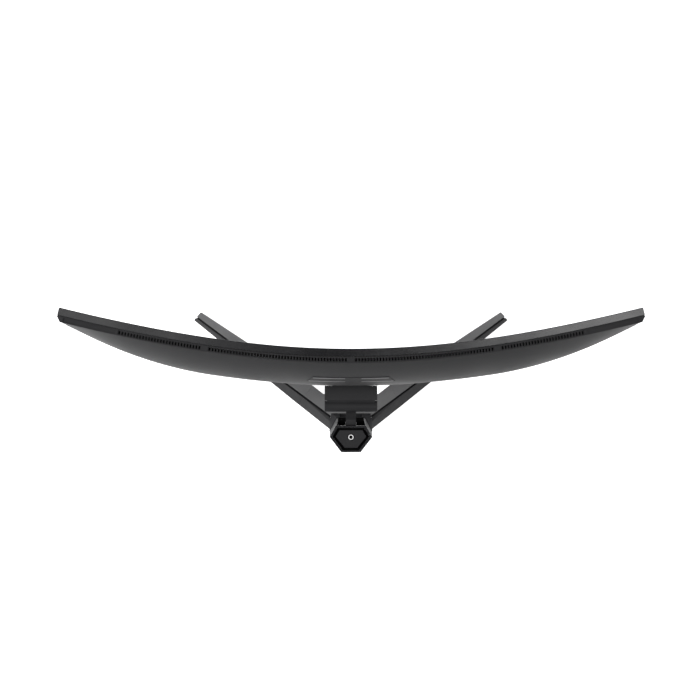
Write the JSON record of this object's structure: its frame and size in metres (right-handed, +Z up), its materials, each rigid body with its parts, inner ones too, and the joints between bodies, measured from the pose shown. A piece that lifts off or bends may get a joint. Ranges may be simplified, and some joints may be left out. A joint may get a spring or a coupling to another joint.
{
  "type": "computer monitor",
  "caption": "Curved ultrawide desktop monitor on a V-shaped stand with a six-sided column, adjustable in height, tilt and swivel.",
  "frame": {"origin": "under the middle of the whole monitor, on the surface it stands on", "axes": "+Z up, the screen faces -Y, +X runs along the display"},
  "size_m": [0.8082, 0.224, 0.539],
  "materials": {
    "rear_plastic": "fine spark-eroded texture, black",
    "frame_plastic": "satin black",
    "column_plastic": "satin black",
    "dark_plastic": "matte black",
    "button_plastic": "semi-gloss black",
    "base_metal": "satin dark grey paint",
    "base_plastic": "satin dark grey",
    "screen_glass": "anti-glare black",
    "optical_film": "white film",
    "acrylic": "clear acrylic",
    "led_board": "white",
    "sheet_steel": "zinc plated",
    "machined_steel": "bright",
    "cast_alloy": "black coated",
    "circuit_board": "solder mask",
    "low_friction_plastic": "acetal",
    "rubber": "matte"
  },
  "bodies": {
    "base": {"base_hub": "base_plastic", "leg_left": "base_metal", "leg_right": "base_metal", "leg_trim_left": "base_plastic", "leg_trim_right": "base_plastic", "swivel_bearing": "low_friction_plastic", "swivel_pin": "machined_steel", "base_screw": "machined_steel", "foot_left": "rubber", "foot_right": "rubber", "foot_rear": "rubber"},
    "column": {"column_shell": "column_plastic", "column_cap": "frame_plastic", "cap_plate": "column_plastic", "tripod_insert": "machined_steel", "column_foot": "column_plastic", "column_rail": "sheet_steel", "drum_bracket": "sheet_steel"},
    "drum": {"spring_drum": "low_friction_plastic"},
    "carriage": {"lift_arm": "cast_alloy", "carriage_block": "cast_alloy", "guide_pad": "low_friction_plastic", "lift_band": "machined_steel", "tilt_shaft": "machined_steel", "friction_washer": "machined_steel"},
    "display": {"lcd_panel": "screen_glass", "optical_films": "optical_film", "light_guide": "acrylic", "reflector_sheet": "optical_film", "led_strip": "led_board", "panel_tray": "sheet_steel", "middle_frame": "frame_plastic", "lower_bezel": "frame_plastic", "power_light": "acrylic", "rear_cover": "rear_plastic", "top_vent_grille": "dark_plastic", "main_board": "circuit_board", "video_socket_left": "sheet_steel", "video_socket_right": "sheet_steel", "audio_socket": "dark_plastic", "power_board": "circuit_board", "mains_inlet": "dark_plastic", "socket_tray_signal": "dark_plastic", "socket_tray_power": "dark_plastic", "panel_ribbon": "optical_film", "speaker_left": "dark_plastic", "speaker_right": "dark_plastic", "control_panel": "dark_plastic", "control_board": "circuit_board", "wall_mount_bracket": "sheet_steel", "stand_plate": "rear_plastic", "tilt_bracket": "sheet_steel", "hinge_cover": "rear_plastic"},
    "menu_button_up": {"menu_button_up": "button_plastic"},
    "menu_button_down": {"menu_button_down": "button_plastic"},
    "menu_button_back": {"menu_button_back": "button_plastic"},
    "power_button": {"power_button": "button_plastic"},
    "joystick_gimbal": {"joystick_gimbal": "dark_plastic"},
    "joystick_pivot": {"joystick_pivot": "sheet_steel"},
    "joystick_cap": {"joystick_cap": "rubber"}
  },
  "joints": [
    {"name": "swivel", "type": "hinge", "parent": "base", "child": "column", "pos_m": [0, 0.087, 0.0178], "axis": [0, 0, 1], "range_deg": [-15, 15]},
    {"name": "height", "type": "slide", "parent": "column", "child": "carriage", "axis": [0, 0, 1], "range_m": [-0.1, 0], "deforming": ["lift_band"]},
    {"name": "drum_spin", "type": "hinge", "parent": "column", "child": "drum", "pos_m": [0, 0.086, 0.374], "axis": [1, 0, 0], "range_deg": [-645, 5]},
    {"name": "tilt", "type": "hinge", "parent": "carriage", "child": "display", "pos_m": [0, 0.0425, 0.386], "axis": [-1, 0, 0], "range_deg": [-5, 20]},
    {"name": "joystick_up_down", "type": "hinge", "parent": "display", "child": "joystick_gimbal", "pos_m": [0.30664, -0.03997, 0.318], "axis": [0.9795, -0.2012, 0], "range_deg": [-8, 8], "stiffness_Nm_per_rad": 0.06},
    {"name": "joystick_left_right", "type": "hinge", "parent": "joystick_gimbal", "child": "joystick_pivot", "pos_m": [0.30664, -0.03997, 0.318], "axis": [0, 0, 1], "range_deg": [-8, 8], "stiffness_Nm_per_rad": 0.06},
    {"name": "joystick_press", "type": "slide", "parent": "joystick_pivot", "child": "joystick_cap", "axis": [-0.2012, -0.9795, 0], "range_m": [0, 0.0008], "stiffness_N_per_m": 900},
    {"name": "menu_button_up_press", "type": "slide", "parent": "display", "child": "menu_button_up", "axis": [-0.2012, -0.9795, 0], "range_m": [0, 0.0008], "stiffness_N_per_m": 900},
    {"name": "menu_button_down_press", "type": "slide", "parent": "display", "child": "menu_button_down", "axis": [-0.2012, -0.9795, 0], "range_m": [0, 0.0008], "stiffness_N_per_m": 900},
    {"name": "menu_button_back_press", "type": "slide", "parent": "display", "child": "menu_button_back", "axis": [-0.2012, -0.9795, 0], "range_m": [0, 0.0008], "stiffness_N_per_m": 900},
    {"name": "power_button_press", "type": "slide", "parent": "display", "child": "power_button", "axis": [-0.2012, -0.9795, 0], "range_m": [0, 0.0008], "stiffness_N_per_m": 900}
  ],
  "couplings": [
    {"joint": "drum_spin", "follows": "height", "rad_per_m": 111.11}
  ]
}
